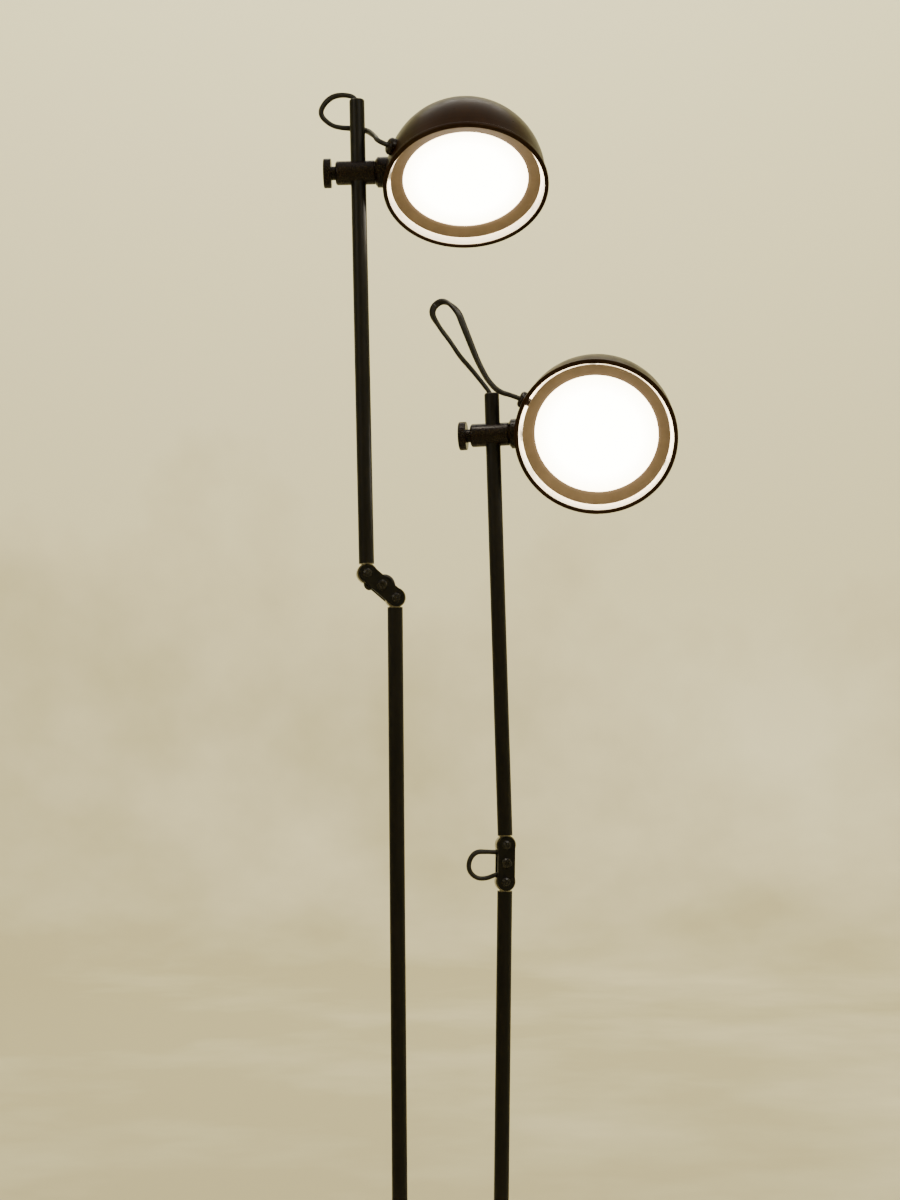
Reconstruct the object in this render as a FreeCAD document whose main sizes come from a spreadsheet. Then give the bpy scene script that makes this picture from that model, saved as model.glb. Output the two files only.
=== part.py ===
# Twin-stem floor lamp: two jointed stems on one round base, each with a
# sliding, swivelling clamp that carries a tilting dome shade.
# Millimetres.  Origin: centre of the base on the floor, +Z up, +X to the
# side that both shades reach to, -Y the front.
import FreeCAD
import Part
import Sketcher
import math
import os
import re

V = FreeCAD.Vector
P = FreeCAD.Placement
R = FreeCAD.Rotation

os.makedirs("parts", exist_ok=True)
doc = FreeCAD.newDocument("twin_floor_lamp")

DIMS = {
    # base
    "base_radius": 145.0, "base_height": 22.0, "cover_wall": 1.5, "cover_edge": 5.0,
    "cover_lift": 2.0, "pad_outer": 138.0, "pad_height": 3.0,
    "plate_radius": 141.0, "plate_top": 15.0, "boss_radius": 84.0, "nut_pocket": 16.0,
    "stem_hole": 9.0, "nut_ceiling": 10.0, "nut_flats": 24.0,
    "flange_radius": 20.0, "flange_height": 3.0, "collar_radius": 12.5, "collar_height": 22.0,
    "grub_radius": 2.0, "inlet_level": 10.5, "inlet_bore": 3.4, "inlet_body": 6.0,
    # stems
    "stem_radius": 8.0, "stem_bore": 6.6, "stem_start": 4.0,
    "left_x": -47.2, "left_y": -32.0, "left_lean": -0.53, "left_pivot": 1094.1,
    "left_link": -49.4, "left_arm": 48.6, "left_stem": 499.0, "left_clamp": 422.4,
    "left_swivel": -10.0, "left_tilt": -32.6,
    "right_x": 48.5, "right_y": 32.0, "right_lean": 0.73, "right_pivot": 794.3,
    "right_link": 0.1, "right_arm": -2.55, "right_stem": 484.0, "right_clamp": 440.4,
    "right_swivel": -18.7, "right_tilt": -63.5,
    "knuckle_yaw": 10.0,
    # knuckle
    "spacing": 39.0, "eye_radius": 10.6, "eye_half": 4.45, "neck_radius": 4.4,
    "ring_low": 9.7, "ring_high": 10.4, "plug_radius": 6.55, "plug_end": 28.0,
    "pivot_bore": 3.0, "pivot_shaft": 2.95, "link_half": 9.2, "link_near": 5.0,
    "link_thick": 3.0, "washer_thick": 0.5, "washer_radius": 8.0, "sleeve_radius": 3.4,
    "bolt_shaft": 2.0, "bolt_head": 5.8, "bolt_rise": 2.6, "pivot_head": 5.0,
    "pivot_rise": 2.2, "nut_thick": 3.2, "elbow_radius": 2.45, "elbow_hole": 2.9,
    # clamp
    "barrel_radius": 12.5, "barrel_left": 23.8, "barrel_right": 17.5, "barrel_edge": 2.5,
    "slide_bore": 8.08, "screw_bore": 5.0, "screw_radius": 4.94, "spigot_bore": 6.06,
    "spigot_radius": 6.0, "spigot_start": 9.0, "knob_radius": 15.35, "knob_face": 36.5,
    "knob_back": 28.3, "knob_neck": 7.2, "neck_end": 24.1, "screw_end": 12.3,
    "hub_reach": 112.5, "hub_radius": 16.0, "hub_small": 12.5, "hub_start": 17.8,
    "hub_full": 20.5, "stud_radius": 5.0,
    # shade
    "dome_radius": 84.3, "shade_wall": 2.0, "dome_centre": 12.5, "rim_radius": 86.8,
    "rim_level": 27.0, "rim_height": 4.0, "ring_outer": 78.6, "ring_inner": 65.6,
    "ring_front": 19.0, "ring_back": 14.0, "ring_sheet": 1.2, "diffuser_radius": 70.0,
    "diffuser_thick": 3.0, "board_radius": 60.0, "board_level": 6.0, "board_thick": 3.0,
    "gland_radius": 9.0, "gland_reach": 90.3, "gland_level": 4.0, "gland_angle": 27.0,
    "gland_stub": 4.4, "gland_bore": 2.9, "lead_radius": 2.6,
}
sheet = doc.addObject("Spreadsheet::Sheet", "dims")
for row, (alias, number) in enumerate(DIMS.items(), 1):
    sheet.set("A%d" % row, alias)
    sheet.set("B%d" % row, str(number))
    sheet.setAlias("B%d" % row, alias)
doc.recompute()

TOKEN = re.compile(r"\s*([A-Za-z_]+|\d+\.?\d*|[-+*/()])")


def value(text):
    """The number that a sum or product of aliases and numbers stands for."""
    words, at = TOKEN.findall(str(text)), [0]

    def peek():
        return words[at[0]] if at[0] < len(words) else None

    def take():
        at[0] += 1
        return words[at[0] - 1]

    def atom():
        word = take()
        if word == "(":
            inner = total()
            take()
            return inner
        if word == "-":
            return -atom()
        if word[0].isalpha():
            return DIMS[word]
        return float(word)

    def product():
        result = atom()
        while peek() in ("*", "/"):
            if take() == "*":
                result *= atom()
            else:
                result /= atom()
        return result

    def total():
        result = product()
        while peek() in ("+", "-"):
            if take() == "+":
                result += product()
            else:
                result -= product()
        return result

    return total()


def named(text):
    return any(c.isalpha() for c in str(text))


def bind(obj, prop, text, unit="mm"):
    if named(text):
        words = re.sub(r"[A-Za-z_]+", lambda m: "dims." + m.group(0), str(text))
        obj.setExpression(prop, "(%s) * 1 %s" % (words, unit))


TURNS = {
    "Z": R(), "X": R(V(0, 1, 0), 90), "Y": R(V(1, 0, 0), -90),
    "-Z": R(V(1, 0, 0), 180), "-X": R(V(0, 1, 0), -90), "-Y": R(V(1, 0, 0), 90),
}
serial = [0]


def new(kind):
    serial[0] += 1
    return doc.addObject(kind, "shape%03d" % serial[0])


def put(obj, x, y, z, axis):
    turn = TURNS[axis] if isinstance(axis, str) else axis
    obj.Placement = P(V(value(x), value(y), value(z)), turn)
    for name, text in zip("xyz", (x, y, z)):
        bind(obj, "Placement.Base." + name, text)
    return obj


def size(obj, **sizes):
    for prop, text in sizes.items():
        setattr(obj, prop, value(text))
        bind(obj, prop, text)
    return obj


def cyl(r, h, x=0, y=0, z=0, axis="Z"):
    return put(size(new("Part::Cylinder"), Radius=r, Height=h), x, y, z, axis)


def cone(a, b, h, x=0, y=0, z=0, axis="Z"):
    return put(size(new("Part::Cone"), Radius1=a, Radius2=b, Height=h), x, y, z, axis)


def half_ball(r, x=0, y=0, z=0):
    obj = size(new("Part::Sphere"), Radius=r)
    obj.Angle1 = 0
    return put(obj, x, y, z, "Z")


def box(lx, ly, lz, x, y, z, axis="Z"):
    return put(size(new("Part::Box"), Length=lx, Width=ly, Height=lz), x, y, z, axis)


def hexagon(flats, h, x=0, y=0, z=0, axis="Z"):
    obj = new("Part::Prism")
    obj.Polygon = 6
    return put(size(obj, Circumradius="%s * 0.57735" % flats, Height=h), x, y, z, axis)


def fuse(*shapes):
    obj = new("Part::MultiFuse")
    obj.Shapes = list(shapes)
    return obj


def cut(base, *tools):
    for tool in tools:
        obj = new("Part::Cut")
        obj.Base, obj.Tool = base, tool
        base = obj
    return base


def both(a, b):
    obj = new("Part::Common")
    obj.Base, obj.Tool = a, b
    return obj


def group(*shapes):
    obj = new("Part::Compound")
    obj.Links = list(shapes)
    return obj


def turned(points, axis="Z", x=0, y=0, z=0):
    """A body of revolution: corners are (radius, height[, fillet]); an entry
    ("arc", radius, mid radius, mid height) curves the next edge."""
    corners = [p for p in points if p[0] != "arc"]
    arcs, n = {}, -1
    for p in points:
        if p[0] == "arc":
            arcs[n] = p
        else:
            n += 1
    count, edges, ends = len(corners), [], []
    for i, corner in enumerate(corners):
        r, h = corner[0], corner[1]
        if len(corner) < 3:
            ends.append(((r, h), (r, h)))
            continue
        f = corner[2]
        here = (value(r), value(h))
        found = []
        for other in (corners[i - 1], corners[(i + 1) % count]):
            dr, dh = value(other[0]) - here[0], value(other[1]) - here[1]
            if abs(dr) > abs(dh):
                found.append(("%s %s (%s)" % (r, "+" if dr > 0 else "-", f), h))
            else:
                found.append((r, "%s %s (%s)" % (h, "+" if dh > 0 else "-", f)))
        ends.append(tuple(found))
    for i in range(count):
        if len(corners[i]) == 3:
            a, b = ends[i]
            va, vb = (V(value(a[0]), value(a[1]), 0), V(value(b[0]), value(b[1]), 0))
            tip = V(value(corners[i][0]), value(corners[i][1]), 0)
            centre = va + vb - tip
            mid = centre + (tip - centre).normalize() * value(corners[i][2])
            level = a[0] if a[1] == corners[i][1] else b[0]
            edges.append((a, b, mid, level, True))
        a, b = ends[i][1], ends[(i + 1) % count][0]
        if i in arcs:
            edges.append((a, b, V(value(arcs[i][2]), value(arcs[i][3]), 0), arcs[i][1], False))
        else:
            edges.append((a, b, None, None, False))
    body = new("PartDesign::Body")
    sketch = body.newObject("Sketcher::SketchObject", "profile%03d" % serial[0])
    for plane in body.Origin.OriginFeatures:
        if plane.Role == "XZ_Plane":
            sketch.AttachmentSupport = [(plane, "")]
    sketch.MapMode = "FlatFace"
    starts, stops = [], []
    for k, (a, b, mid, _, _) in enumerate(edges):
        va, vb = V(value(a[0]), value(a[1]), 0), V(value(b[0]), value(b[1]), 0)
        if mid is None:
            sketch.addGeometry(Part.LineSegment(va, vb))
            starts.append(1)
            stops.append(2)
        else:
            first = (mid - va).cross(vb - mid).z > 0
            sketch.addGeometry(Part.Arc(va, mid, vb) if first else Part.Arc(vb, mid, va))
            starts.append(1 if first else 2)
            stops.append(2 if first else 1)
    rule = Sketcher.Constraint
    for k, (a, b, mid, radius, round_corner) in enumerate(edges):
        nxt = (k + 1) % len(edges)
        sketch.addConstraint(rule("Coincident", k, stops[k], nxt, starts[nxt]))
        for kind, text, line in (("DistanceX", a[0], -2), ("DistanceY", a[1], -1)):
            number = value(text)
            if abs(number) < 1e-9:
                sketch.addConstraint(rule("PointOnObject", k, starts[k], line))
                continue
            index = sketch.addConstraint(rule(kind, -1, 1, k, starts[k], number))
            name = "%s%d" % (kind[-1].lower() + "_", k)
            sketch.renameConstraint(index, name)
            bind(sketch, "Constraints." + name, text)
        if mid is not None:
            if round_corner:
                index = sketch.addConstraint(rule("DistanceX", -1, 1, k, 3, value(radius)))
            else:
                index = sketch.addConstraint(rule("Radius", k, value(radius)))
            sketch.renameConstraint(index, "bend_%d" % k)
            bind(sketch, "Constraints.bend_%d" % k, radius)
    spin = body.newObject("PartDesign::Revolution", "turn%03d" % serial[0])
    spin.Profile = sketch
    spin.ReferenceAxis = (sketch, ["V_Axis"])
    spin.Angle = 360
    body.Tip = spin
    if axis != "Z" or x or y or z:
        put(body, x, y, z, axis)
    return body


NODES = []


def done(label, obj, frame):
    kind = obj.TypeId
    if kind in ("Part::Cylinder", "Part::Cone", "Part::Box", "Part::Prism", "Part::Sphere"):
        obj = group(obj)
    obj.Placement = frame.multiply(obj.Placement)
    obj.Label = label
    NODES.append(obj)
    return obj


def toward(vector):
    return R(V(0, 0, 1), vector)


def drilled(frame, start, stop, radius, target):
    """A straight drill between two points of one frame, set in another."""
    a, b = V(*start), V(*stop)
    drill = new("Part::Cylinder")
    size(drill, Radius=radius)
    drill.Height = (b - a).Length
    drill.Placement = target.inverse().multiply(frame).multiply(P(a, toward(b - a)))
    return drill


def tube(label, points, radius, frame):
    """A round lead: straight runs joined by tangent arcs."""
    pts = [V(*p) for p in points]
    edges, here, report = [], pts[0], []
    for i in range(1, len(pts) - 1):
        a, b = (pts[i] - pts[i - 1]), (pts[i + 1] - pts[i])
        turn = a.getAngle(b)
        reach = 0.45 * min(a.Length, b.Length)
        bend = reach / math.tan(turn / 2)
        a.normalize()
        b.normalize()
        p, q = pts[i] - a * reach, pts[i] + b * reach
        middle = b - a
        middle.normalize()
        centre = pts[i] + middle * math.hypot(bend, reach)
        inward = pts[i] - centre
        inward.normalize()
        edges.append(Part.LineSegment(here, p).toShape())
        edges.append(Part.Arc(p, centre + inward * bend, q).toShape())
        report.append("%.1f" % bend)
        here = q
    edges.append(Part.LineSegment(here, pts[-1]).toShape())
    path = Part.Wire(edges)
    start = pts[1] - pts[0]
    ring = Part.Wire([Part.makeCircle(radius, pts[0], start)])
    solid = path.makePipeShell([ring], True, True)
    obj = doc.addObject("Part::Feature", label)
    obj.Shape = solid
    obj.Placement = frame
    obj.Label = label
    NODES.append(obj)
    ideal = math.pi * radius * radius * path.Length
    print(label, "length %.1f" % path.Length, "volume/ideal %.4f" % (solid.Volume / ideal), "bends", " ".join(report))
    return obj


def dome(r):
    """The solid that a dome of this radius encloses, open rim downward."""
    return fuse(cyl(r, "30", 0, 0, "-dome_centre - 30"), half_ball(r, 0, 0, "-dome_centre"))


WORLD = P()


def stem_frame(s):
    return P(V(value(s + "_x"), value(s + "_y"), 0), R(V(0, 1, 0), value(s + "_lean")))


FRAMES = {}
for s in ("left", "right"):
    stem = stem_frame(s)
    low = stem.multiply(P(V(0, 0, value(s + "_pivot")), R(V(0, 0, 1), value("knuckle_yaw"))))
    link = low.multiply(P(V(), R(V(0, 1, 0), value(s + "_link"))))
    arm = link.multiply(P(V(0, 0, value("spacing")), R(V(0, 1, 0), value(s + "_arm"))))
    clamp = arm.multiply(P(V(0, 0, value(s + "_clamp")), R(V(0, 0, 1), value(s + "_swivel"))))
    head = clamp.multiply(P(V(value("hub_reach"), 0, 0), R(V(1, 0, 0), value(s + "_tilt"))))
    FRAMES[s] = {"stem": stem, "low": low, "link": link, "arm": arm, "clamp": clamp, "head": head}

# ---------------------------------------------------------------- base
done("base_pad", turned([("0", "0"), ("pad_outer", "0", "1"), ("pad_outer", "pad_height"),
                         ("0", "pad_height")]), WORLD)
cover = turned([
    ("0", "base_height"), ("base_radius", "base_height", "cover_edge"),
    ("base_radius", "cover_lift"), ("base_radius - cover_wall", "cover_lift"),
    ("base_radius - cover_wall", "base_height - cover_wall", "cover_edge - cover_wall"),
    ("0", "base_height - cover_wall")])
holes = []
for s in ("left", "right"):
    holes.append(drilled(FRAMES[s]["stem"], (0, 0, 12), (0, 0, 32), "stem_hole", WORLD))
holes.append(cyl("inlet_body", "20", 0, "base_radius - 12", "inlet_level", "Y"))
done("base_cover", cut(cover, *holes), WORLD)

plate = turned([("0", "pad_height"), ("plate_radius", "pad_height"), ("plate_radius", "plate_top", "2"),
                ("boss_radius", "plate_top"), ("boss_radius", "base_height - cover_wall", "1"),
                ("0", "base_height - cover_wall")])
holes = []
for s in ("left", "right"):
    holes.append(drilled(FRAMES[s]["stem"], (0, 0, 1), (0, 0, 30), "stem_hole", WORLD))
    holes.append(drilled(FRAMES[s]["stem"], (0, 0, -8), (0, 0, value("nut_ceiling")), "nut_pocket", WORLD))
holes.append(box("92", "42", "10", "-46", "-21", "2"))
holes.append(box("16", "124", "10", "-8", "18", "2"))
holes.append(box("20", "20", "24", "-10", "126", "2"))
done("base_plate", cut(plate, *holes), WORLD)

socket = {}
for s in ("left", "right"):
    top = "base_height + flange_height"
    raw = turned([("stem_radius", "base_height - 2"), ("flange_radius", "base_height - 2"),
                  ("flange_radius", top, "1"), ("collar_radius", top),
                  ("collar_radius", "base_height + collar_height", "1.2"),
                  ("stem_radius", "base_height + collar_height")])
    drill = [cyl("grub_radius", "14", 0, 0, "base_height + collar_height - 7", R(V(1, 0, 0), -90)),
             cyl("grub_radius", "14", 0, 0, "base_height + collar_height - 14", R(V(1, 0, 0), -90))]
    level = box("60", "60", "20", s + "_x - 30", s + "_y - 30", "base_height - 20")
    for name in "xyz":
        level.setExpression("Placement.Base." + name, None)
    level.Placement = FRAMES[s]["stem"].inverse().multiply(level.Placement)
    done(s + "_socket", cut(raw, level, *drill), FRAMES[s]["stem"])

screws = []
for s in ("left", "right"):
    for k in (7, 14):
        screw = cut(cyl("grub_radius", "4", 0, "stem_radius", "base_height + collar_height - %d" % k, "Y"),
                    hexagon("2", "2", 0, "stem_radius + 2.2", "base_height + collar_height - %d" % k, "Y"))
        screw.Placement = FRAMES[s]["stem"]
        screws.append(screw)
done("grub_screws", group(*screws), WORLD)

nuts = []
for s in ("left", "right"):
    nut = cut(hexagon("nut_flats", "6", 0, 0, "nut_ceiling - 6"), cyl("stem_radius", "10", 0, 0, "2"))
    nut.Placement = FRAMES[s]["stem"]
    nuts.append(nut)
done("stem_nuts", group(*nuts), WORLD)

done("cord_inlet_bush", turned([
    ("inlet_bore", "base_radius - 5"), ("8", "base_radius - 5"), ("8", "base_radius - cover_wall - 0.6"),
    ("inlet_body - 0.05", "base_radius - cover_wall - 0.6"), ("inlet_body - 0.05", "base_radius + 0.4"),
    ("7.4", "base_radius + 0.4"), ("7.4", "base_radius + 2.4", "1"), ("inlet_bore", "base_radius + 2.4")],
    "Y", 0, 0, "inlet_level"), WORLD)

block = box("34", "14", "8", "-17", "-7", "4")
wells = [cyl("1.8", "6", "%d" % (-12 + 8 * k), 0, "3") for k in range(4)]
done("terminal_block", cut(block, *wells), WORLD)

# ---------------------------------------------------------------- stems, knuckles, heads
ELBOW = {
    # in the frame of the link: origin on the lower pivot, +Z to the upper one
    "right": [(-3.6, 0, 8.0), (-9.8, 0, 7.6), (-19.5, 1.2, 2.9), (-31.0, 2.6, 3.0), (-39.0, 3.4, 11.2),
              (-38.6, 3.4, 22.6), (-31.6, 2.6, 31.4), (-20.0, 1.2, 31.4), (-9.8, 0, 31.0), (-3.6, 0, 31.0)],
    "left": [(5.1, 0, 6.0), (8.6, 0, 9.5), (12.2, -0.4, 15.6), (10.8, -0.2, 22.6), (4.8, 0, 25.72),
             (-4.8, 0, 25.68), (-10.9, 0.3, 26.8), (-10.0, 0, 32.6), (-5.0, 0, 35.6)],
}
HEAD_LEAD = {
    "left": [(-98.0, -38.35, 1608.9), (-98.05, -38.35, 1616.4), (-102.6, -36.6, 1624.4), (-121.0, -31.2, 1626.8),
             (-132.6, -27.8, 1619.9), (-138.7, -24.9, 1607.7), (-126.7, -24.4, 1596.1), (-114.5, -24.1, 1593.3),
             (-99.4, -24.2, 1592.9), (-87.2, -29.8, 1588.6), (-81.7, -45.5, 1580.7), (-77.4, -61.0, 1572.9),
             (-75.8, -72.0, 1567.0)],
    "right": [(45.2, 28.45, 1307.7), (45.0, 28.45, 1316.4), (35.0, 28.4, 1329.6), (22.0, 29.2, 1345.9),
              (10.4, 28.9, 1358.7), (0.0, 29.0, 1375.3), (-10.1, 28.2, 1388.1), (-22.2, 25.7, 1407.4),
              (-8.1, 22.3, 1420.2), (8.2, 19.1, 1407.0), (14.4, 17.2, 1389.9), (21.0, 15.4, 1373.0),
              (27.3, 13.6, 1356.3), (33.2, 11.6, 1343.1), (41.0, 9.4, 1328.4), (51.8, 6.0, 1316.4)],
}


def eye(s, part, frame, run):
    """A flat eye with neck, collar ring and stem plug along +Z."""
    shape = fuse(cyl("eye_radius", "eye_half + eye_half", 0, "-eye_half", 0, "Y"),
                 cyl("neck_radius", "ring_high", 0, 0, 0),
                 cyl("stem_radius", "ring_high - ring_low", 0, 0, "ring_low"),
                 cyl("plug_radius", "plug_end - ring_high - 1.5", 0, 0, "ring_high"),
                 cone("plug_radius", "plug_radius - 1.5", "1.5", 0, 0, "plug_end - 1.5"))
    leads = [drilled(FRAMES[s]["link"], a, b, "elbow_hole", frame) for a, b in run]
    return cut(shape, cyl("pivot_bore", "20", 0, "-10", 0, "Y"), *leads)


def outward(a, b, back, ahead):
    """Two points on the line a-b: a little behind a, and beyond b."""
    way = V(*b) - V(*a)
    way.normalize()
    p, q = V(*a) - way * back, V(*b) + way * ahead
    return (tuple(p), tuple(q))


for s in ("left", "right"):
    F = FRAMES[s]
    stem_end = s + "_pivot - ring_high"
    done(s + "_lower_stem", cut(
        cyl("stem_radius", stem_end + " - stem_start", 0, 0, "stem_start"),
        cyl("stem_bore", stem_end + " - stem_start + 2", 0, 0, "stem_start - 1")), F["stem"])
    flipped = F["low"].multiply(P(V(), R(V(0, 1, 0), 180)))
    run = ELBOW[s]
    done(s + "_lower_eye", eye(s, "low", flipped, [outward(run[0], run[1], 0.8, 6)]), flipped)

    near, thick = "link_near", "link_thick"
    for side, y in (("front", "-link_near - link_thick"), ("rear", "link_near")):
        shape = fuse(cyl("link_half", thick, 0, y, 0, "Y"), cyl("link_half", thick, 0, y, "spacing", "Y"),
                     box("link_half + link_half", thick, "spacing", "-link_half", y, 0))
        shape = cut(shape, cyl("pivot_shaft", "8", 0, y + " - 2", 0, "Y"),
                    cyl("pivot_shaft", "8", 0, y + " - 2", "spacing", "Y"),
                    cyl("bolt_shaft", "8", 0, y + " - 2", "spacing / 2", "Y"))
        done("%s_link_%s" % (s, side), shape, F["link"])
    done(s + "_link_sleeve", cut(cyl("sleeve_radius", "link_near * 2", 0, "-link_near", "spacing / 2", "Y"),
                                 cyl("bolt_shaft", "link_near * 2 + 2", 0, "-link_near - 1", "spacing / 2", "Y")),
         F["link"])
    head_y = "-link_near - link_thick - bolt_rise"
    bolt = turned([("0", "0.4"), ("bolt_head - 1.6", "0"), ("bolt_head", "bolt_rise - 0.8"),
                   ("bolt_head", "bolt_rise"), ("bolt_shaft", "bolt_rise"),
                   ("bolt_shaft", "bolt_rise + link_near * 2 + link_thick * 2 + nut_thick + 1"),
                   ("0", "bolt_rise + link_near * 2 + link_thick * 2 + nut_thick + 1")],
                  "Y", "0", head_y, "spacing / 2")
    done(s + "_link_bolt", cut(bolt, hexagon("4", "2.2", 0, head_y + " - 0.5", "spacing / 2", "Y")), F["link"])
    screws, nuts, washers = [], [], []
    for z in ("0", "spacing"):
        y0 = "-link_near - link_thick - pivot_rise"
        screws.append(turned([
            ("0", "0"), ("pivot_head - 2.2", "0.25"), ("pivot_head - 0.5", "pivot_rise - 1"),
            ("pivot_head", "pivot_rise - 0.4"), ("pivot_head", "pivot_rise"), ("pivot_shaft", "pivot_rise"),
            ("pivot_shaft", "pivot_rise + link_near * 2 + link_thick * 2 + nut_thick + 0.8"),
            ("0", "pivot_rise + link_near * 2 + link_thick * 2 + nut_thick + 0.8")], "Y", "0", y0, z))
        nuts.append(cut(hexagon("9", "nut_thick", 0, "link_near + link_thick", z, "Y"),
                        cyl("pivot_shaft", "12", 0, "link_near", z, "Y")))
        for y in ("-link_near", "link_near - washer_thick"):
            washers.append(cut(cyl("washer_radius", "washer_thick", 0, y, z, "Y"),
                               cyl("pivot_shaft", "4", 0, y + " - 1", z, "Y")))
    nuts.append(cut(hexagon("7", "nut_thick", 0, "link_near + link_thick", "spacing / 2", "Y"),
                    cyl("bolt_shaft", "12", 0, "link_near", "spacing / 2", "Y")))
    done(s + "_pivot_screws", group(*screws), F["link"])
    done(s + "_link_nuts", group(*nuts), F["link"])
    done(s + "_friction_washers", group(*washers), F["link"])
    tube(s + "_elbow_lead", run, value("elbow_radius"), F["link"])

    # upper stem
    done(s + "_upper_eye", eye(s, "up", F["arm"], [outward(run[-1], run[-2], 0.8, 4), outward(run[-2], run[-3], 1, 0)]), F["arm"])
    done(s + "_upper_stem", cut(cyl("stem_radius", s + "_stem - ring_high", 0, 0, "ring_high"),
                                cyl("stem_bore", s + "_stem", 0, 0, "ring_high - 1")), F["arm"])
    top = s + "_stem"
    done(s + "_stem_bush", turned([
        ("lead_radius + 0.3", top + " - 14"), ("stem_bore - 0.06", top + " - 14"), ("stem_bore - 0.06", top + " + 0.1"),
        ("stem_radius - 0.6", top + " + 0.1"), ("stem_radius - 0.6", top + " + 0.9"),
        ("stem_radius - 1.2", top + " + 1.4"), ("lead_radius + 2.9", top + " + 1.4"),
        ("lead_radius + 0.3", top + " - 5.5")]), F["arm"])

    # clamp
    barrel = turned([("0", "-barrel_left"), ("barrel_radius", "-barrel_left", "barrel_edge"),
                     ("barrel_radius", "barrel_right - 0.5"), ("barrel_radius - 0.5", "barrel_right"),
                     ("0", "barrel_right")], "X")
    done(s + "_clamp_barrel", cut(
        barrel, cyl("slide_bore", "40", 0, 0, "-20"),
        cyl("screw_bore", "barrel_left - 4", "-barrel_left - 1", 0, 0, "X"),
        cyl("spigot_bore", "barrel_right", "spigot_start", 0, 0, "X")), F["clamp"])
    done(s + "_clamp_pad", cut(cyl("screw_bore - 0.1", "6", "-screw_end + 0.3", 0, 0, "X"),
                               cyl("stem_radius + 0.12", "20", 0, 0, "-10")), F["clamp"])
    knob = turned([("0", "-knob_face"), ("knob_radius", "-knob_face", "1.2"), ("knob_radius", "-knob_back", "1"),
                   ("knob_neck", "-knob_back"), ("knob_neck", "-neck_end"), ("screw_radius", "-neck_end"),
                   ("screw_radius", "-screw_end"), ("0", "-screw_end")], "X")
    ridges = []
    for k in range(30):
        a = math.radians(12 * k)
        ridges.append(cyl("0.75", "12", "-knob_face - 2", "%.4f" % (15.65 * math.cos(a)),
                          "%.4f" % (15.65 * math.sin(a)), "X"))
    done(s + "_clamp_knob", cut(knob, group(*ridges)), F["clamp"])

    # head: origin on the barrel axis at the middle of the shade
    H = F["head"]
    near_x = "hub_start - hub_reach"
    hub = turned([("0", "spigot_start + 0.3 - hub_reach"), ("spigot_radius", "spigot_start + 0.3 - hub_reach"),
                  ("spigot_radius", near_x), ("hub_small", near_x), ("hub_radius", "hub_full - hub_reach"),
                  ("hub_radius", "-70"), ("0", "-70")], "X")
    stud = cyl("stud_radius", "20", "-90", 0, 0, "X")
    done(s + "_hub", fuse(cut(hub, dome("dome_radius")), stud), H)
    inner = "dome_radius - shade_wall"
    saddle = both(cyl("9", "10", "-84", 0, 0, "X"), dome(inner))
    nut = hexagon("13", "4.5", "-74.5", 0, 0, "X")
    done(s + "_hub_nut", cut(fuse(saddle, nut), cyl("stud_radius", "30", "-95", 0, 0, "X")), H)

    lip = "-rim_level + rim_height"
    rim = turned([(inner, "-rim_level"), ("rim_radius", "-rim_level", "1"), ("rim_radius", lip, "1"),
                  (inner, lip)])
    shell = cut(fuse(cyl("dome_radius", "rim_level - dome_centre", 0, 0, "-rim_level"),
                     half_ball("dome_radius", 0, 0, "-dome_centre"), rim), dome(inner))
    ga = math.radians(180 + value("gland_angle"))
    out = V(math.cos(ga), math.sin(ga), 0)
    gz = -value("gland_level")
    gland_at = P(V(0, 0, gz), toward(out))
    hole = cyl("gland_stub + 0.1", "30", 0, 0, "-gland_level", toward(out))
    hole.Placement = P(out * 65 + V(0, 0, gz), toward(out))
    hole.setExpression("Placement.Base.z", None)
    done(s + "_shade", cut(shell, cyl("stud_radius + 0.2", "30", "-98", 0, 0, "X"), hole), H)

    rise = "-ring_front + ring_sheet"
    done(s + "_baffle_ring", turned([
        ("ring_outer", "-ring_front"), ("ring_outer", rise), ("ring_inner", "-ring_back"),
        ("ring_inner", "-ring_back - ring_sheet")]), H)
    # three feet behind the ring, reaching back to the inner wall
    slope = (value("ring_front") - value("ring_sheet") - value("ring_back")) / (value("ring_outer") - value("ring_inner"))
    back = lambda r: -value("ring_back") - slope * (r - value("ring_inner"))
    feet = []
    for k in range(3):
        outline = [(70.3, back(70.3)), (77, back(77)), (77, -4), (85, 3), (85, 9), (76.5, 5), (70.3, -3)]
        ring = Part.makePolygon([V(r, -4, z) for r, z in outline + outline[:1]])
        foot = new("Part::Extrusion")
        base = doc.addObject("Part::Feature", "foot_outline%d_%s" % (k, s))
        base.Shape = Part.Face(ring)
        foot.Base = base
        foot.DirMode = "Custom"
        foot.Dir = V(0, 1, 0)
        foot.LengthFwd = 8
        foot.Solid = True
        foot.Placement = P(V(), R(V(0, 0, 1), 30 + 120 * k))
        feet.append(foot)
    done(s + "_ring_brackets", both(group(*feet), dome(inner)), H)
    done(s + "_diffuser", turned([
        ("0", "-ring_back + 0.6"), ("ring_inner", "-ring_back"), ("diffuser_radius", "-ring_back"),
        ("diffuser_radius", "-ring_back + diffuser_thick"), ("0", "-ring_back + diffuser_thick")]), H)
    posts = [cyl("3", "90", "%.4f" % (40 * math.cos(math.radians(45 + 90 * k))),
                 "%.4f" % (40 * math.sin(math.radians(45 + 90 * k))), "board_level + 1") for k in range(4)]
    chips = [box("5", "5", "1", "%.3f" % (x - 2.5), "%.3f" % (y - 2.5), "board_level - 1")
             for x in (-30, 0, 30) for y in (-30, 0, 30)]
    board = fuse(cyl("board_radius", "board_thick", 0, 0, "board_level"),
                 both(group(*posts), dome(inner)), *chips)
    done(s + "_light_board", board, H)

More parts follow.
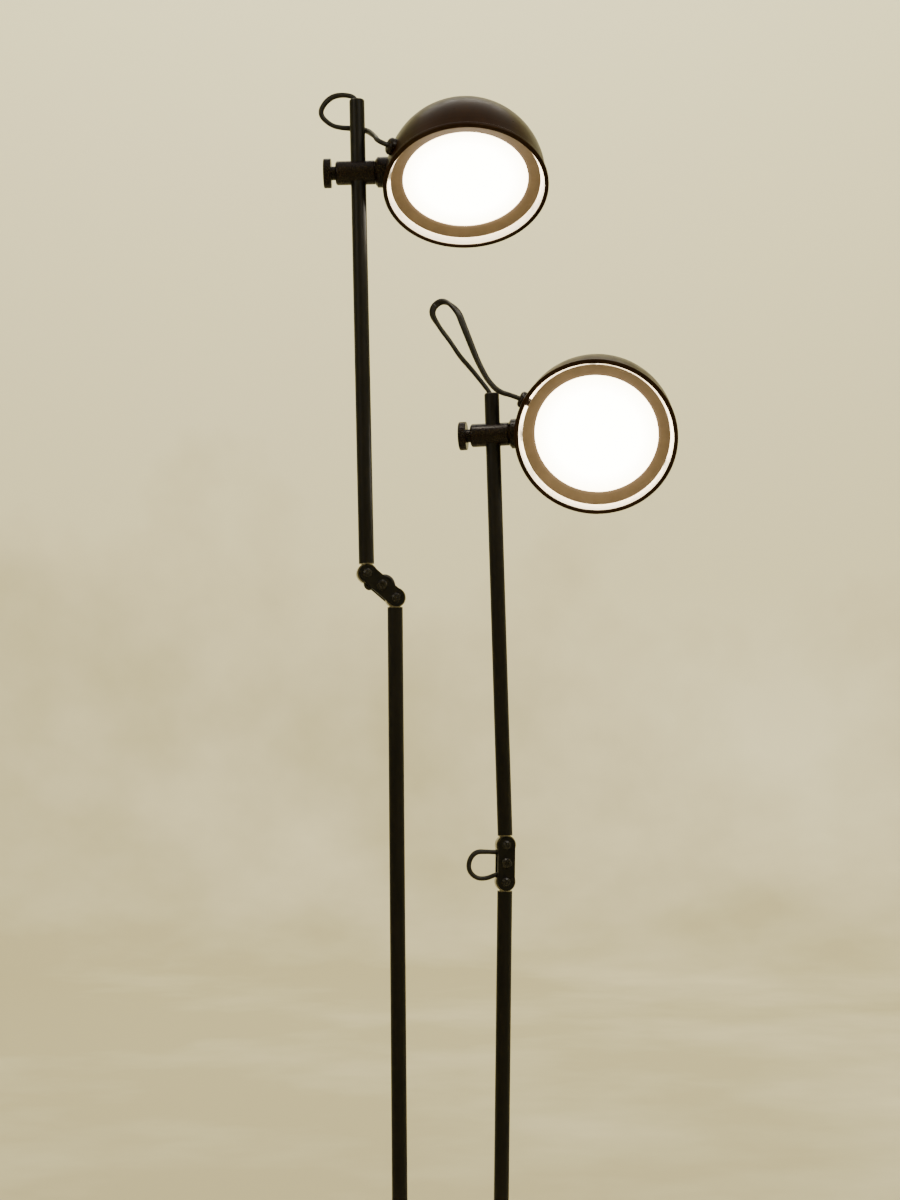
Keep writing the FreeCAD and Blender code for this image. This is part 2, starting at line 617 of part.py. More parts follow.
    boss = turned([("0", "76"), ("gland_radius", "76"), ("gland_radius", "gland_reach - 3.2"),
                   ("arc", "4.6", "%.4f" % (value("gland_radius") - 1.15), "%.4f" % (value("gland_reach") - 0.95)),
                   ("gland_radius - 4", "gland_reach"), ("0", "gland_reach")])
    boss.Placement = gland_at
    stub = cyl("gland_stub", "14", 0, 0, "72")
    stub.Placement = P(out * 74 + V(0, 0, gz), toward(out))
    bore = cyl("gland_bore", "40", 0, 0, 0)
    bore.Placement = P(out * 60 + V(0, 0, gz), toward(out))
    done(s + "_lead_gland", cut(fuse(cut(boss, dome("dome_radius")), stub), bore), H)

    # lead from the stem top to the gland: route in world coordinates
    tail = [H.multVec(out * d + V(0, 0, gz)) for d in ((95.0, 85.5) if s == "left" else (97.0, 82.0))]
    tube(s + "_head_lead", HEAD_LEAD[s] + [tuple(t) for t in tail], value("lead_radius"), WORLD)

doc.recompute()

bad = []
for obj in doc.Objects:
    if any(word in obj.State for word in ("Invalid", "Error")):
        bad.append((obj.Name, obj.Label, obj.State))
for obj in NODES:
    if obj.Shape.isNull() or not obj.Shape.isValid() or obj.Shape.Volume <= 0:
        bad.append((obj.Label, "shape"))
if bad:
    for item in bad:
        print("BAD", item)
    raise SystemExit("some shapes failed")
for obj in NODES:
    obj.Shape.exportStep("parts/%s.step" % obj.Label)
    box3 = obj.Shape.BoundBox
    print("%-24s solids %2d vol %12.2f  z %.1f..%.1f" % (obj.Label, len(obj.Shape.Solids), obj.Shape.Volume, box3.ZMin, box3.ZMax))
print(len(NODES), "nodes")
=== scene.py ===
import bpy
import math
from mathutils import Matrix, Vector


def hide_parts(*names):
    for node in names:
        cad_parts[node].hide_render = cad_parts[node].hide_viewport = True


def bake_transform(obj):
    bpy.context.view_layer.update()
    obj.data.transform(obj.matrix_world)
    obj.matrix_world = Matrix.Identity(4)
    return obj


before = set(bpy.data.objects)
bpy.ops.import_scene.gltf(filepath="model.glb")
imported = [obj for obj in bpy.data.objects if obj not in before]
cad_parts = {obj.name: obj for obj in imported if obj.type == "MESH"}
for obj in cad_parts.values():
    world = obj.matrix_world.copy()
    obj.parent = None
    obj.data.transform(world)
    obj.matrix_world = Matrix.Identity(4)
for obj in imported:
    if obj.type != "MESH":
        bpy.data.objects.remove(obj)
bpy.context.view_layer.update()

# ------------------------------------------------------------------ frames
# The same chain of frames as the CAD's, in metres.
def at(x=0.0, y=0.0, z=0.0):
    return Matrix.Translation((x, y, z))


def spin(axis, degrees):
    return Matrix.Rotation(math.radians(degrees), 4, axis)


LAMP = {
    "left": dict(x=-0.0472, y=-0.032, lean=-0.53, pivot=1.0941, link=-49.4, arm=48.6, top=0.499,
                 clamp=0.4224, swivel=-10.0, tilt=-32.6),
    "right": dict(x=0.0485, y=0.032, lean=0.73, pivot=0.7943, link=0.1, arm=-2.55, top=0.484,
                  clamp=0.4404, swivel=-18.7, tilt=-63.5),
}
F = {}
for side, d in LAMP.items():
    stem = at(d["x"], d["y"]) @ spin("Y", d["lean"])
    low = stem @ at(z=d["pivot"]) @ spin("Z", 10)
    link = low @ spin("Y", d["link"])
    arm = link @ at(z=0.039) @ spin("Y", d["arm"])
    clamp = arm @ at(z=d["clamp"]) @ spin("Z", d["swivel"])
    head = clamp @ at(x=0.1125) @ spin("X", d["tilt"])
    F[side] = dict(stem=stem, low=low, link=link, arm=arm, clamp=clamp, head=head)

# ------------------------------------------------------------------ camera
cam = bpy.data.objects.new("camera", bpy.data.cameras.new("camera"))
bpy.context.scene.collection.objects.link(cam)
cam.location = (0.0, -2.116, 0.982488)
cam.rotation_euler = (math.radians(93.0), 0.0, 0.0)
cam.data.sensor_fit = "AUTO"
cam.data.sensor_width = 36.0
cam.data.lens = 60.0
cam.data.clip_start = 0.05
cam.data.clip_end = 60.0
bpy.context.scene.camera = cam

# ------------------------------------------------------------------ node helpers
def new_material(name):
    m = bpy.data.materials.new(name)
    m.use_nodes = True
    nodes = m.node_tree.nodes
    for n in list(nodes):
        nodes.remove(n)
    out = nodes.new("ShaderNodeOutputMaterial")
    shader = nodes.new("ShaderNodeBsdfPrincipled")
    m.node_tree.links.new(shader.outputs[0], out.inputs[0])
    return m, nodes, m.node_tree.links, shader, out


def place(nodes, links, scale=(1, 1, 1), matrix=None):
    """Coordinates fixed to the piece, in millimetres, in the frame of matrix."""
    tc = nodes.new("ShaderNodeTexCoord")
    here = tc.outputs["Object"]
    if matrix is not None:
        shift = nodes.new("ShaderNodeVectorMath")
        shift.operation = "SUBTRACT"
        shift.inputs[1].default_value = matrix.to_translation()
        links.new(here, shift.inputs[0])
        join = nodes.new("ShaderNodeCombineXYZ")
        for k in range(3):
            dot = nodes.new("ShaderNodeVectorMath")
            dot.operation = "DOT_PRODUCT"
            dot.inputs[1].default_value = matrix.col[k].to_3d()
            links.new(shift.outputs[0], dot.inputs[0])
            links.new(dot.outputs["Value"], join.inputs[k])
        here = join.outputs[0]
    grow = nodes.new("ShaderNodeVectorMath")
    grow.operation = "MULTIPLY"
    grow.inputs[1].default_value = tuple(1000.0 * s for s in scale)
    links.new(here, grow.inputs[0])
    return grow.outputs[0]


def noise(nodes, links, where, scale, detail=4.0, rough=0.55):
    n = nodes.new("ShaderNodeTexNoise")
    n.inputs["Scale"].default_value = scale
    n.inputs["Detail"].default_value = detail
    n.inputs["Roughness"].default_value = rough
    links.new(where, n.inputs["Vector"])
    return n.outputs["Fac"]


def ramp(nodes, links, fac, stops):
    r = nodes.new("ShaderNodeValToRGB")
    while len(r.color_ramp.elements) < len(stops):
        r.color_ramp.elements.new(0.5)
    for e, (p, c) in zip(r.color_ramp.elements, stops):
        e.position = p
        e.color = (*c, 1.0) if len(c) == 3 else c
    links.new(fac, r.inputs[0])
    return r.outputs[0]


def rerange(nodes, links, value, a, b, c, d):
    m = nodes.new("ShaderNodeMapRange")
    m.inputs[1].default_value, m.inputs[2].default_value = a, b
    m.inputs[3].default_value, m.inputs[4].default_value = c, d
    links.new(value, m.inputs[0])
    return m.outputs[0]


def maths(nodes, links, kind, a, b=None, clamp=False):
    m = nodes.new("ShaderNodeMath")
    m.operation = kind
    m.use_clamp = clamp
    for socket, v in zip(m.inputs, (a, b)):
        if v is None:
            continue
        if isinstance(v, (int, float)):
            socket.default_value = v
        else:
            links.new(v, socket)
    return m.outputs[0]


def bump(nodes, links, height, distance_mm, strength=1.0, under=None):
    b = nodes.new("ShaderNodeBump")
    b.inputs["Strength"].default_value = strength
    b.inputs["Distance"].default_value = distance_mm / 1000.0
    links.new(height, b.inputs["Height"])
    if under is not None:
        links.new(under, b.inputs["Normal"])
    return b.outputs[0]


def paint(name, dark, light, rough=(0.32, 0.46), grain=0.9, peel_mm=0.02, coat=0.0, metallic=0.0,
          stretch=(1, 1, 1), matrix=None, patch=0.03, spec=0.5):
    """Sprayed paint: slow cloudy colour, fine orange peel, a few rubbed places."""
    m, nodes, links, s, _ = new_material(name)
    where = place(nodes, links, stretch, matrix)
    cloud = noise(nodes, links, where, patch, 5.0, 0.6)
    links.new(ramp(nodes, links, cloud, [(0.32, dark), (0.70, light)]), s.inputs["Base Color"])
    rub = noise(nodes, links, where, patch * 6, 6.0, 0.65)
    links.new(rerange(nodes, links, rub, 0.35, 0.7, *rough), s.inputs["Roughness"])
    peel = noise(nodes, links, where, grain, 2.0, 0.5)
    links.new(bump(nodes, links, peel, peel_mm, 0.6), s.inputs["Normal"])
    s.inputs["Metallic"].default_value = metallic
    s.inputs["Coat Weight"].default_value = coat
    s.inputs["Coat Roughness"].default_value = 0.18
    s.inputs["Specular IOR Level"].default_value = spec
    return m


def metal(name, dark, light, rough=(0.2, 0.4), scratch=(0.05, 4.0, 0.05), mm=0.01, matrix=None):
    """Bare metal: stretched tool marks, small stains and duller patches."""
    m, nodes, links, s, _ = new_material(name)
    lines = noise(nodes, links, place(nodes, links, scratch, matrix), 1.0, 6.0, 0.7)
    plain = place(nodes, links, (1, 1, 1), matrix)
    stain = noise(nodes, links, plain, 0.25, 5.0, 0.6)
    mix = maths(nodes, links, "ADD", maths(nodes, links, "MULTIPLY", lines, 0.4),
                maths(nodes, links, "MULTIPLY", stain, 0.6))
    links.new(ramp(nodes, links, mix, [(0.35, dark), (0.62, light)]), s.inputs["Base Color"])
    links.new(rerange(nodes, links, mix, 0.35, 0.65, rough[1], rough[0]), s.inputs["Roughness"])
    links.new(bump(nodes, links, lines, mm, 0.7), s.inputs["Normal"])
    s.inputs["Metallic"].default_value = 1.0
    return m


def dull(name, dark, light, rough=(0.5, 0.8), grain=2.0, mm=0.03, spec=0.4):
    """Moulded rubber or plastic with a fine spark-eroded grain."""
    m, nodes, links, s, _ = new_material(name)
    where = place(nodes, links)
    links.new(ramp(nodes, links, noise(nodes, links, where, 0.08, 5.0, 0.6), [(0.35, dark), (0.7, light)]),
              s.inputs["Base Color"])
    links.new(rerange(nodes, links, noise(nodes, links, where, 0.4, 5.0, 0.6), 0.3, 0.7, *rough),
              s.inputs["Roughness"])
    links.new(bump(nodes, links, noise(nodes, links, where, grain, 3.0, 0.6), mm, 0.8), s.inputs["Normal"])
    s.inputs["Specular IOR Level"].default_value = spec
    return m


# ------------------------------------------------------------------ materials
BASE_BLACK = paint("base_black_paint", (0.0055, 0.0048, 0.0042), (0.0100, 0.0088, 0.0078), (0.36, 0.52), 0.8, 0.03, spec=0.18)
IRON = metal("ballast_iron", (0.05, 0.05, 0.05), (0.11, 0.11, 0.115), (0.55, 0.8), (0.6, 0.6, 0.6), 0.25)
RUBBER = dull("pad_rubber", (0.018, 0.018, 0.018), (0.032, 0.031, 0.030), (0.7, 0.9), 1.4, 0.06)
STEEL = metal("bright_steel", (0.42, 0.42, 0.43), (0.70, 0.70, 0.71), (0.2, 0.38), (1.2, 1.2, 1.2), 0.012)
BRASS = metal("pad_brass", (0.45, 0.32, 0.13), (0.72, 0.54, 0.26), (0.25, 0.45), (1.2, 1.2, 1.2), 0.012)
BLACK_PLASTIC = dull("black_plastic", (0.018, 0.017, 0.016), (0.030, 0.028, 0.027), (0.4, 0.6), 2.2, 0.02)
IVORY = dull("ivory_plastic", (0.60, 0.57, 0.48), (0.72, 0.69, 0.60), (0.4, 0.6), 2.0, 0.02)
BOARD = metal("board_metal", (0.62, 0.62, 0.62), (0.80, 0.80, 0.80), (0.35, 0.5), (0.4, 3.0, 0.4), 0.01)


def stem_paint(name, matrix):
    m = paint(name, (0.0028, 0.0024, 0.0020), (0.0060, 0.0048, 0.0040), (0.30, 0.46), 1.1, 0.016,
              coat=0.0, stretch=(1, 1, 0.12), matrix=matrix, patch=0.12, spec=0.13)
    return m


def clamp_paint(name, matrix):
    return paint(name, (0.0036, 0.0017, 0.0012), (0.0085, 0.0038, 0.0025), (0.22, 0.34), 1.0, 0.018,
                 coat=0.0, matrix=matrix, patch=0.16, spec=0.16)


def eye_metal(name, matrix):
    return metal(name, (0.060, 0.054, 0.044), (0.300, 0.280, 0.235), (0.14, 0.32), (2.4, 2.4, 2.4), 0.04, matrix)


def shade_paint_and_painted_glow(name, matrix):
    """Dark bronze outside, pale enamel inside; told apart by depth in the wall. The inner wall also glows with painted
    light.
    """
    m, nodes, links, s, _ = new_material(name)
    where = place(nodes, links, (1, 1, 1), matrix)
    cloud = noise(nodes, links, where, 0.02, 6.0, 0.62)
    fine = noise(nodes, links, where, 0.35, 4.0, 0.6)
    outside = ramp(nodes, links, cloud, [(0.30, (0.0120, 0.0044, 0.0016)), (0.72, (0.0225, 0.0094, 0.0037))])
    inside = ramp(nodes, links, fine, [(0.30, (0.66, 0.60, 0.48)), (0.75, (0.76, 0.70, 0.58))])
    split = nodes.new("ShaderNodeSeparateXYZ")
    links.new(where, split.inputs[0])
    up = maths(nodes, links, "MAXIMUM", maths(nodes, links, "ADD", split.outputs[2], 12.5), 0.0)
    flat = maths(nodes, links, "ADD", maths(nodes, links, "POWER", split.outputs[0], 2.0),
                 maths(nodes, links, "POWER", split.outputs[1], 2.0))
    reach = maths(nodes, links, "SQRT", maths(nodes, links, "ADD", flat, maths(nodes, links, "POWER", up, 2.0)))
    # 1 on the inner wall, 0 from the rim's flat edge outwards
    within = rerange(nodes, links, reach, 82.42, 82.72, 1.0, 0.0)
    # the outside paint turns over the lip by a couple of millimetres
    within = maths(nodes, links, "MULTIPLY", within, rerange(nodes, links, split.outputs[2], -25.6, -25.2, 0.0, 1.0))
    mix = nodes.new("ShaderNodeMix")
    mix.data_type = "RGBA"
    links.new(within, mix.inputs[0])
    links.new(outside, mix.inputs[6])
    links.new(inside, mix.inputs[7])
    links.new(mix.outputs[2], s.inputs["Base Color"])
    # painted light: the inner wall gives off warm light of its own, stronger deeper in the shade, standing in for the
    # lens's light falling on it
    s.inputs["Emission Color"].default_value = (1.0, 0.86, 0.62, 1.0)
    links.new(maths(nodes, links, "MULTIPLY", within, rerange(nodes, links, split.outputs[2], -26.0, -14.0, 0.9, 1.6)),
              s.inputs["Emission Strength"])
    dust = noise(nodes, links, where, 0.09, 6.0, 0.65)
    links.new(rerange(nodes, links, dust, 0.3, 0.72, 0.27, 0.40), s.inputs["Roughness"])
    links.new(bump(nodes, links, noise(nodes, links, where, 0.75, 2.0, 0.5), 0.022, 0.5), s.inputs["Normal"])
    s.inputs["Specular IOR Level"].default_value = 0.10
    s.inputs["Specular Tint"].default_value = (0.95, 0.80, 0.60, 1.0)
    return m


def ring_paint_and_painted_glow(name, matrix):
    m, nodes, links, s, _ = new_material(name)
    where = place(nodes, links, (1, 1, 1), matrix)
    tone = noise(nodes, links, where, 0.05, 5.0, 0.6)
    links.new(ramp(nodes, links, tone, [(0.3, (0.098, 0.066, 0.034)), (0.72, (0.140, 0.096, 0.052))]),
              s.inputs["Base Color"])
    split = nodes.new("ShaderNodeSeparateXYZ")
    links.new(where, split.inputs[0])
    radius = maths(nodes, links, "SQRT", maths(
        nodes, links, "ADD", maths(nodes, links, "POWER", split.outputs[0], 2.0),
        maths(nodes, links, "POWER", split.outputs[1], 2.0)))
    turning = maths(nodes, links, "SINE", maths(nodes, links, "MULTIPLY", radius, 9.0))
    # painted glow: the whole ring gives off faint warm light, strongest at its inner edge nearest the lens, standing in
    # for light that spills on to it
    links.new(ramp(nodes, links, rerange(nodes, links, radius, 64.5, 78.6, 0.0, 1.0),
                   [(0.0, (1.0, 0.66, 0.36)), (0.30, (0.36, 0.205, 0.095)), (1.0, (0.12, 0.062, 0.024))]),
              s.inputs["Emission Color"])
    s.inputs["Emission Strength"].default_value = 0.26
    b = bump(nodes, links, turning, 0.006, 0.5)
    links.new(bump(nodes, links, noise(nodes, links, where, 1.2, 2.0, 0.5), 0.014, 0.5, b), s.inputs["Normal"])
    links.new(rerange(nodes, links, noise(nodes, links, where, 0.25, 5.0, 0.6), 0.3, 0.7, 0.42, 0.6),
              s.inputs["Roughness"])
    return m


def diffuser_glow(name, matrix):
    """Frosted disc: even warm white, a little warmer and weaker at its edge."""
    m, nodes, links, s, _ = new_material(name)
    where = place(nodes, links, (1, 1, 1), matrix)
    split = nodes.new("ShaderNodeSeparateXYZ")
    links.new(where, split.inputs[0])
    radius = maths(nodes, links, "SQRT", maths(
        nodes, links, "ADD", maths(nodes, links, "POWER", split.outputs[0], 2.0),
        maths(nodes, links, "POWER", split.outputs[1], 2.0)))
    frost = noise(nodes, links, where, 0.9, 4.0, 0.6)
    glow = maths(nodes, links, "ADD", rerange(nodes, links, radius, 45.0, 68.0, 1.0, 0.72),
                 maths(nodes, links, "MULTIPLY", frost, 0.04))
    links.new(ramp(nodes, links, glow, [(0.70, (1.0, 0.80, 0.52)), (0.98, (1.0, 0.93, 0.80))]),
              s.inputs["Emission Color"])
    links.new(maths(nodes, links, "MULTIPLY", glow, 17.0), s.inputs["Emission Strength"])
    links.new(ramp(nodes, links, frost, [(0.3, (0.86, 0.84, 0.78)), (0.7, (0.93, 0.91, 0.86))]),
              s.inputs["Base Color"])
    links.new(bump(nodes, links, frost, 0.02, 0.6), s.inputs["Normal"])
    s.inputs["Roughness"].default_value = 0.6
    return m


def lead_rubber(name):
    """Black flex sheath: fine extrusion lines along it and handling dust."""
    m, nodes, links, s, _ = new_material(name)
    uv = nodes.new("ShaderNodeTexCoord").outputs["UV"]
    stretch = nodes.new("ShaderNodeVectorMath")
    stretch.operation = "MULTIPLY"
    stretch.inputs[1].default_value = (60.0, 4.0, 1.0)
    links.new(uv, stretch.inputs[0])
    lines = noise(nodes, links, stretch.outputs[0], 1.0, 3.0, 0.5)
    where = place(nodes, links)
    dust = noise(nodes, links, where, 0.3, 6.0, 0.65)
    links.new(ramp(nodes, links, dust, [(0.35, (0.0045, 0.0036, 0.0030)), (0.75, (0.0105, 0.0086, 0.0070))]),
              s.inputs["Base Color"])
    links.new(rerange(nodes, links, dust, 0.3, 0.7, 0.34, 0.52), s.inputs["Roughness"])
    s.inputs["Specular IOR Level"].default_value = 0.25
    links.new(bump(nodes, links, lines, 0.03, 0.5), s.inputs["Normal"])
    return m


LEAD = lead_rubber("lead_sheath")


def coat(node, material):
    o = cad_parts[node]
    if not o.material_slots:
        o.data.materials.append(material)
    for slot in o.material_slots:
        slot.link = "OBJECT"
        slot.material = material
    return o


for node, material in {
    "base_pad": RUBBER, "base_cover": BASE_BLACK, "base_plate": IRON, "left_socket": BASE_BLACK,
    "right_socket": BASE_BLACK, "grub_screws": STEEL, "stem_nuts": STEEL, "cord_inlet_bush": BLACK_PLASTIC,
    "terminal_block": IVORY,
}.items():
    coat(node, material)

for side in ("left", "right"):
    f = F[side]
    lower = stem_paint(side + "_lower_stem_paint", f["stem"])
    upper = stem_paint(side + "_upper_stem_paint", f["arm"])
    plates = paint(side + "_plate_paint", (0.0022, 0.0019, 0.0016), (0.0052, 0.0043, 0.0036), (0.30, 0.42),
                   1.2, 0.02, coat=0.0, matrix=f["link"], patch=0.3, spec=0.13)
    bronze = shade_paint_and_painted_glow(side + "_shade_paint", f["head"])
    dark = clamp_paint(side + "_clamp_paint", f["clamp"])
    hubs = clamp_paint(side + "_hub_paint", f["head"])
    for part, material in {
        "lower_stem": lower, "upper_stem": upper,
        "lower_eye": eye_metal(side + "_lower_eye_metal", f["low"]),
        "upper_eye": eye_metal(side + "_upper_eye_metal", f["arm"]),
        "link_front": plates, "link_rear": plates, "link_sleeve": STEEL,
        "link_bolt": paint(side + "_bolt_black", (0.0050, 0.0042, 0.0036), (0.0120, 0.0100, 0.0085), (0.16, 0.28), 2.0,
                           0.01, coat=0.0, matrix=f["link"], patch=0.5, spec=0.22),
        "pivot_screws": paint(side + "_screw_black", (0.0048, 0.0042, 0.0036), (0.0115, 0.0098, 0.0085), (0.16, 0.28),
                              2.0, 0.01, coat=0.0, matrix=f["link"], patch=0.5, spec=0.22),
        "link_nuts": STEEL, "friction_washers": BLACK_PLASTIC, "stem_bush": BLACK_PLASTIC,
        "clamp_barrel": dark, "clamp_pad": BRASS, "clamp_knob": dark, "hub": hubs, "hub_nut": STEEL,
        "shade": bronze, "baffle_ring": ring_paint_and_painted_glow(side + "_ring_paint_and_painted_glow", f["head"]), "ring_brackets": STEEL,
        "diffuser": diffuser_glow(side + "_diffuser_glow", f["head"]), "light_board": BOARD, "lead_gland": hubs,
    }.items():
        coat("%s_%s" % (side, part), material)

# ------------------------------------------------------------------ leads
def spline_points(name, route):
    """The smooth line that a route's points control."""
    c = bpy.data.curves.new(name, "CURVE")
    c.dimensions = "3D"
    c.resolution_u = 16
    s = c.splines.new("NURBS")
    s.points.add(len(route) - 1)
    for p, r in zip(s.points, route):
        p.co = (*r, 1.0)
    s.order_u = 3
    s.use_endpoint_u = True
    o = bpy.data.objects.new(name, c)
    bpy.context.scene.collection.objects.link(o)
    bpy.context.view_layer.update()
    mesh = bpy.data.meshes.new_from_object(o)
    line = [v.co.copy() for v in mesh.vertices]
    bpy.data.objects.remove(o)
    if (line[0] - Vector(route[0])).length > (line[-1] - Vector(route[0])).length:
        line.reverse()
    return line


def measure(line):
    total = [0.0]
    for a, b in zip(line, line[1:]):
        total.append(total[-1] + (b - a).length)
    return total


def flex(name, line, first, last, thick, width_at, twist_at, cap=(True, True)):
    """A flat twin flex along part of a line: two cores side by side in one sheath."""
    total = measure(line)
    ring, verts, faces, uvs = 28, [], [], []
    tangent = [(line[min(i + 1, len(line) - 1)] - line[max(i - 1, 0)]).normalized() for i in range(len(line))]
    normal = tangent[0].orthogonal().normalized()
    frames = []
    for i, t in enumerate(tangent):
        normal = (normal - t * normal.dot(t)).normalized()
        frames.append((normal.copy(), t.cross(normal)))
    used = [i for i in range(len(line)) if first - 1e-9 <= total[i] <= last + 1e-9]
    for i in used:
        s = total[i] / total[-1]
        n, b = frames[i]
        a = twist_at(s)
        u, v = n * math.cos(a) + b * math.sin(a), b * math.cos(a) - n * math.sin(a)
        half, core = width_at(s) / 2, thick / 2
        spread = max(half - core, 0.0)
        for k in range(ring):
            q = 2 * math.pi * k / ring
            x = math.cos(q) * core + spread * math.tanh(4 * math.cos(q))
            y = math.sin(q) * core * (1 - 0.10 * min(spread / core, 1.0) * math.exp(-(x / (0.35 * core)) ** 2))
            verts.append(line[i] + u * x + v * y)
    rows = len(used)
    for r in range(rows - 1):
        for k in range(ring):
            faces.append((r * ring + k, r * ring + (k + 1) % ring, (r + 1) * ring + (k + 1) % ring, (r + 1) * ring + k))
    if cap[0]:
        faces.append(tuple(reversed(range(ring))))
    if cap[1]:
        faces.append(tuple((rows - 1) * ring + k for k in range(ring)))
    mesh = bpy.data.meshes.new(name)
    mesh.from_pydata(verts, [], faces)
    layer = mesh.uv_layers.new(name="UVMap")
    for poly in mesh.polygons:
        poly.use_smooth = len(poly.vertices) == 4
        for li in poly.loop_indices:
            v = mesh.loops[li].vertex_index
            layer.data[li].uv = ((v % ring) / ring, total[used[v // ring]] / 0.02)
    mesh.update()
    o = bpy.data.objects.new(name, mesh)
    bpy.context.scene.collection.objects.link(o)
    o.data.materials.append(LEAD)
    return o, [line[i] for i in used]


def mm(points):
    return [Vector(p) / 1000.0 for p in points]


HEAD_LEAD = {
    "left": [(-98.0, -38.35, 1608.9), (-98.05, -38.35, 1616.4), (-102.6, -36.6, 1624.4), (-121.0, -31.2, 1626.8),
             (-132.6, -27.8, 1619.9), (-138.7, -24.9, 1607.7), (-126.7, -24.4, 1596.1), (-114.5, -24.1, 1593.3),
             (-99.4, -24.2, 1592.9), (-87.2, -29.8, 1588.6), (-81.7, -45.5, 1580.7), (-77.4, -61.0, 1572.9),
             (-75.8, -72.0, 1567.0)],
    "right": [(45.2, 28.45, 1307.7), (45.0, 28.45, 1316.4), (35.0, 28.4, 1329.6), (22.0, 29.2, 1345.9),
              (10.4, 28.9, 1358.7), (0.0, 29.0, 1375.3), (-10.1, 28.2, 1388.1), (-22.2, 25.7, 1407.4),
              (-8.1, 22.3, 1420.2), (8.2, 19.1, 1407.0), (14.4, 17.2, 1389.9), (21.0, 15.4, 1373.0),
              (27.3, 13.6, 1356.3), (33.2, 11.6, 1343.1), (41.0, 9.4, 1328.4), (51.8, 6.0, 1316.4)],
}
ELBOW = {
    "right": [(-3.6, 0, 8.0), (-9.8, 0, 7.6), (-19.5, 1.2, 2.9), (-31.0, 2.6, 3.0), (-39.0, 3.4, 11.2),
              (-38.6, 3.4, 22.6), (-31.6, 2.6, 31.4), (-20.0, 1.2, 31.4), (-9.8, 0, 31.0), (-3.6, 0, 31.0)],
    "left": [(5.1, 0, 6.0), (8.6, 0, 9.5), (12.2, -0.4, 15.6), (10.8, -0.2, 22.6), (4.8, 0, 25.72),
             (-4.8, 0, 25.68), (-10.9, 0.3, 26.8), (-10.0, 0, 32.6), (-5.0, 0, 35.6)],
}


def smooth(a, b, x):
    t = min(max((x - a) / (b - a), 0.0), 1.0)
    return t * t * (3 - 2 * t)


for side in ("left", "right"):
    head = F[side]["head"]
    ga = math.radians(207.0)
    out = Vector((math.cos(ga), math.sin(ga), 0.0))
    tail = [head @ (out * d / 1000.0 + Vector((0, 0, -0.004))) for d in ((95.0, 85.5) if side == "left" else (97.0, 82.0))]
    line = spline_points(side + "_head_route", mm(HEAD_LEAD[side]) + tail)
    total = measure(line)
    if side == "left":
        meet = Vector((-99.4, -24.2, 1592.9)) / 1000
        wide = lambda s: 0.0052 + 0.0009 * smooth(0.10, 0.25, s) * (1 - smooth(0.82, 0.93, s))
        turn = lambda s: 2.2 * math.pi * s + 0.4
    else:
        meet = Vector((-16.5, 24.0, 1415.0)) / 1000
        wide = lambda s: 0.0052 + 0.0024 * smooth(0.06, 0.16, s) * (1 - smooth(0.86, 0.95, s))
        turn = lambda s: 0.35 + 1.7 * math.pi * smooth(0.30, 0.62, s) + 0.5 * math.sin(9 * s)
    near = min(range(len(line)), key=lambda i: (line[i] - meet).length)
    a, path_a = flex(side + "_head_lead_a", line, 0, total[near], 0.0050, wide, turn)
    b, path_b = flex(side + "_head_lead_b", line, total[near], total[-1], 0.0050, wide, turn)
    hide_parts(side + "_head_lead")
    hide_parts(side + "_head_lead")
    if side == "left":
        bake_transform(a)
        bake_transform(b)
    else:
        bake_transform(a)
        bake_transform(b)

    link = F[side]["link"]
    line = spline_points(side + "_elbow_route", [link @ p for p in mm(ELBOW[side])])
    total = measure(line)
    near = min(range(len(line)), key=lambda i: abs(total[i] - total[-1] / 2))
    wide = lambda s: 0.0049 + 0.0006 * smooth(0.15, 0.3, s) * (1 - smooth(0.7, 0.85, s)) * (side == "right")
    turn = lambda s: 0.3 + 2.0 * s
    a, path_a = flex(side + "_elbow_lead_a", line, 0, total[near], 0.0049, wide, turn)
    b, path_b = flex(side + "_elbow_lead_b", line, total[near], total[-1], 0.0049, wide, turn)
    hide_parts(side + "_elbow_lead")
    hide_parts(side + "_elbow_lead")
    if side == "right":
        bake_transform(a)
        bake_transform(b)
    else:
        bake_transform(a)
        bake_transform(b)

# ------------------------------------------------------------------ stage
def lathe(name, profile, steps=160):
    verts, faces = [], []
    for r, z in profile:
        for k in range(steps):
            q = 2 * math.pi * k / steps
            verts.append((r * math.cos(q), r * math.sin(q), z))
    for i in range(len(profile) - 1):
        for k in range(steps):
            faces.append((i * steps + k, i * steps + (k + 1) % steps, (i + 1) * steps + (k + 1) % steps, (i + 1) * steps + k))
    mesh = bpy.data.meshes.new(name)
    mesh.from_pydata(verts, [], faces)
    for p in mesh.polygons:
        p.use_smooth = True
    mesh.update()
    o = bpy.data.objects.new(name, mesh)
    bpy.context.scene.collection.objects.link(o)
    return o


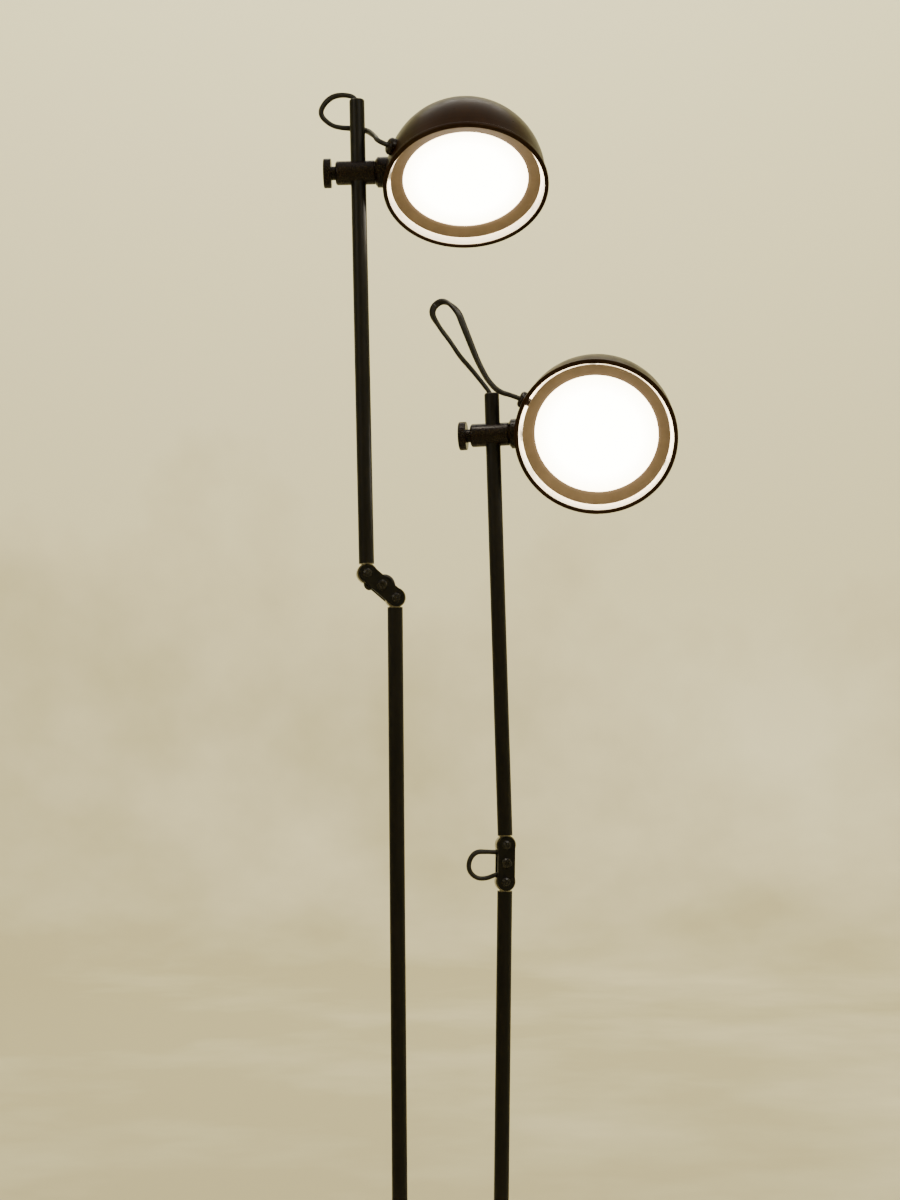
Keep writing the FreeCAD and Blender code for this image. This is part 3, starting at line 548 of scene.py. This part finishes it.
profile = [(0.001, 0.0), (1.0, 0.0), (3.0, 0.0), (5.3, 0.0)]
profile += [(5.3 + 1.5 * math.sin(math.radians(a)), 1.5 - 1.5 * math.cos(math.radians(a))) for a in range(5, 91, 5)]
profile += [(6.8, 4.6), (6.8, 8.8)]
room = lathe("backdrop", profile)
m, nodes, links, s, _ = new_material("backdrop_paper")
tc = place(nodes, links, (0.001, 0.001, 0.001))
broad = noise(nodes, links, tc, 1.1, 4.0, 0.55)
fine = noise(nodes, links, tc, 5.0, 5.0, 0.6)
parts = nodes.new("ShaderNodeSeparateXYZ")
links.new(tc, parts.inputs[0])
# painted shade and light: the backdrop is painted darker towards the floor and to the left, and lighter upwards and to
# the right; broad cloudy mottling goes on top
height = rerange(nodes, links, parts.outputs[2], -0.2, 4.0, 0.0, 1.0)
across = rerange(nodes, links, parts.outputs[0], -2.8, 2.8, -0.12, 0.12)
mottle = maths(nodes, links, "ADD", maths(nodes, links, "MULTIPLY", maths(nodes, links, "SUBTRACT", broad, 0.5), 0.80),
               maths(nodes, links, "MULTIPLY", maths(nodes, links, "SUBTRACT", fine, 0.5), 0.10))
tone = maths(nodes, links, "ADD", maths(nodes, links, "ADD", height, across), mottle)
links.new(ramp(nodes, links, tone, [(0.0, (0.560, 0.510, 0.325)), (0.45, (0.880, 0.833, 0.607)),
                                    (1.0, (0.890, 0.855, 0.590))]), s.inputs["Base Color"])
s.inputs["Roughness"].default_value = 0.95
s.inputs["Specular IOR Level"].default_value = 0.1
room.data.materials.append(m)

world = bpy.data.worlds.new("studio")
bpy.context.scene.world = world
world.use_nodes = True
bg = world.node_tree.nodes.get("Background") or world.node_tree.nodes.new("ShaderNodeBackground")
bg.inputs[0].default_value = (0.95, 0.90, 0.76, 1.0)
bg.inputs[1].default_value = 1.0


def softbox(name, place_at, aim, size, power, colour=(1.0, 0.96, 0.88)):
    light = bpy.data.lights.new(name, "AREA")
    light.shape = "RECTANGLE"
    light.size, light.size_y = size
    light.energy = power
    light.color = colour
    o = bpy.data.objects.new(name, light)
    bpy.context.scene.collection.objects.link(o)
    o.location = place_at
    o.rotation_euler = (Vector(aim) - Vector(place_at)).to_track_quat("-Z", "Y").to_euler()
    return o


softbox("key", (2.4, -3.2, 4.4), (1.0, 5.0, 3.0), (2.8, 1.9), 165)
softbox("fill", (-3.0, -2.8, 2.8), (-0.4, 2.6, 1.6), (2.0, 2.0), 36)
softbox("top", (0.0, 3.4, 6.0), (0.0, 6.4, 2.4), (4.6, 1.4), 210)
